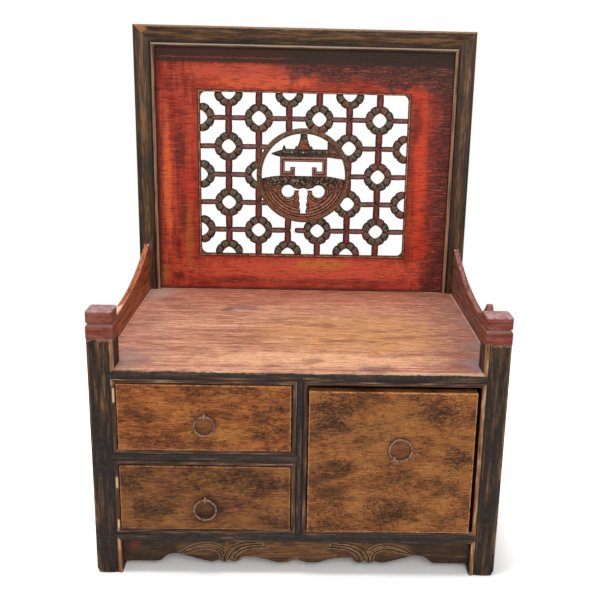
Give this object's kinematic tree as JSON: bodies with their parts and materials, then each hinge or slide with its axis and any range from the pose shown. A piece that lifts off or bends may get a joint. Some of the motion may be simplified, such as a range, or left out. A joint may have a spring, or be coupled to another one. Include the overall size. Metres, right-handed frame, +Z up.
{
  "type": "altar cabinet",
  "caption": "Wooden altar cabinet with sliding drawers on ring pulls, a flat top board between low arms, and a tall framed back panel with pierced fretwork.",
  "frame": {"origin": "on the floor, in the middle of the overall width and depth", "axes": "+X to the right seen from the front, +Y from the drawers to the back, +Z up"},
  "size_m": [0.608, 0.493, 0.805],
  "materials": {
    "black_lacquer": "worn black lacquer",
    "red_lacquer": "worn red lacquer",
    "oxide_red_lacquer": "worn oxide red lacquer",
    "ochre_lacquer": "crackled ochre lacquer",
    "worn_board": "worn to bare wood",
    "bare_wood": "plain planed wood",
    "iron": "forged, rubbed"
  },
  "bodies": {
    "cabinet": {"front_post_left": "black_lacquer", "front_post_right": "black_lacquer", "front_top_rail": "black_lacquer", "front_mid_rail": "black_lacquer", "front_bottom_rail": "black_lacquer", "front_mid_stile": "black_lacquer", "front_apron": "black_lacquer", "side_top_rail_right": "oxide_red_lacquer", "side_top_rail_left": "oxide_red_lacquer", "side_bottom_rail_right": "oxide_red_lacquer", "side_bottom_rail_left": "oxide_red_lacquer", "side_panel_right": "oxide_red_lacquer", "side_panel_left": "oxide_red_lacquer", "top_board": "worn_board", "bottom_board": "bare_wood", "partition": "bare_wood", "arm_right": "oxide_red_lacquer", "arm_left": "oxide_red_lacquer", "back_post_left": "black_lacquer", "back_post_right": "black_lacquer", "back_crest_rail": "black_lacquer", "back_mid_rail": "bare_wood", "back_bottom_rail": "bare_wood", "lower_back_panel": "bare_wood", "back_panel": "red_lacquer", "back_fretwork": "red_lacquer", "back_roundel": "red_lacquer", "upper_bearer": "bare_wood", "upper_runner_left": "bare_wood", "upper_runner_right": "bare_wood", "lower_runner_left": "bare_wood", "lower_runner_middle_left": "bare_wood", "lower_runner_middle_right": "bare_wood", "lower_runner_right": "bare_wood"},
    "upper_drawer": {"upper_drawer_front": "ochre_lacquer", "upper_drawer_side_left": "bare_wood", "upper_drawer_side_right": "bare_wood", "upper_drawer_back": "bare_wood", "upper_drawer_bottom": "bare_wood", "upper_drawer_pin": "iron"},
    "upper_drawer_pull": {"upper_drawer_ring": "iron"},
    "lower_drawer": {"lower_drawer_front": "ochre_lacquer", "lower_drawer_side_left": "bare_wood", "lower_drawer_side_right": "bare_wood", "lower_drawer_back": "bare_wood", "lower_drawer_bottom": "bare_wood", "lower_drawer_pin": "iron"},
    "lower_drawer_pull": {"lower_drawer_ring": "iron"},
    "big_drawer": {"big_drawer_front": "ochre_lacquer", "big_drawer_side_left": "bare_wood", "big_drawer_side_right": "bare_wood", "big_drawer_back": "bare_wood", "big_drawer_bottom": "bare_wood", "big_drawer_pin": "iron"},
    "big_drawer_pull": {"big_drawer_ring": "iron"}
  },
  "joints": [
    {"name": "upper_drawer_slide", "type": "slide", "parent": "cabinet", "child": "upper_drawer", "axis": [0, -1, 0], "range_m": [0, 0.3]},
    {"name": "upper_drawer_ring_swing", "type": "hinge", "parent": "upper_drawer", "child": "upper_drawer_pull", "pos_m": [-0.136, -0.23795, 0.2565], "axis": [-1, 0, 0], "range_deg": [-6, 186]},
    {"name": "lower_drawer_slide", "type": "slide", "parent": "cabinet", "child": "lower_drawer", "axis": [0, -1, 0], "range_m": [0, 0.3]},
    {"name": "lower_drawer_ring_swing", "type": "hinge", "parent": "lower_drawer", "child": "lower_drawer_pull", "pos_m": [-0.136, -0.23795, 0.1255], "axis": [-1, 0, 0], "range_deg": [-6, 186]},
    {"name": "big_drawer_slide", "type": "slide", "parent": "cabinet", "child": "big_drawer", "axis": [0, -1, 0], "range_m": [0, 0.3]},
    {"name": "big_drawer_ring_swing", "type": "hinge", "parent": "big_drawer", "child": "big_drawer_pull", "pos_m": [0.138, -0.24195, 0.1965], "axis": [0.788, 0, -0.6157], "range_deg": [0, 192]}
  ]
}
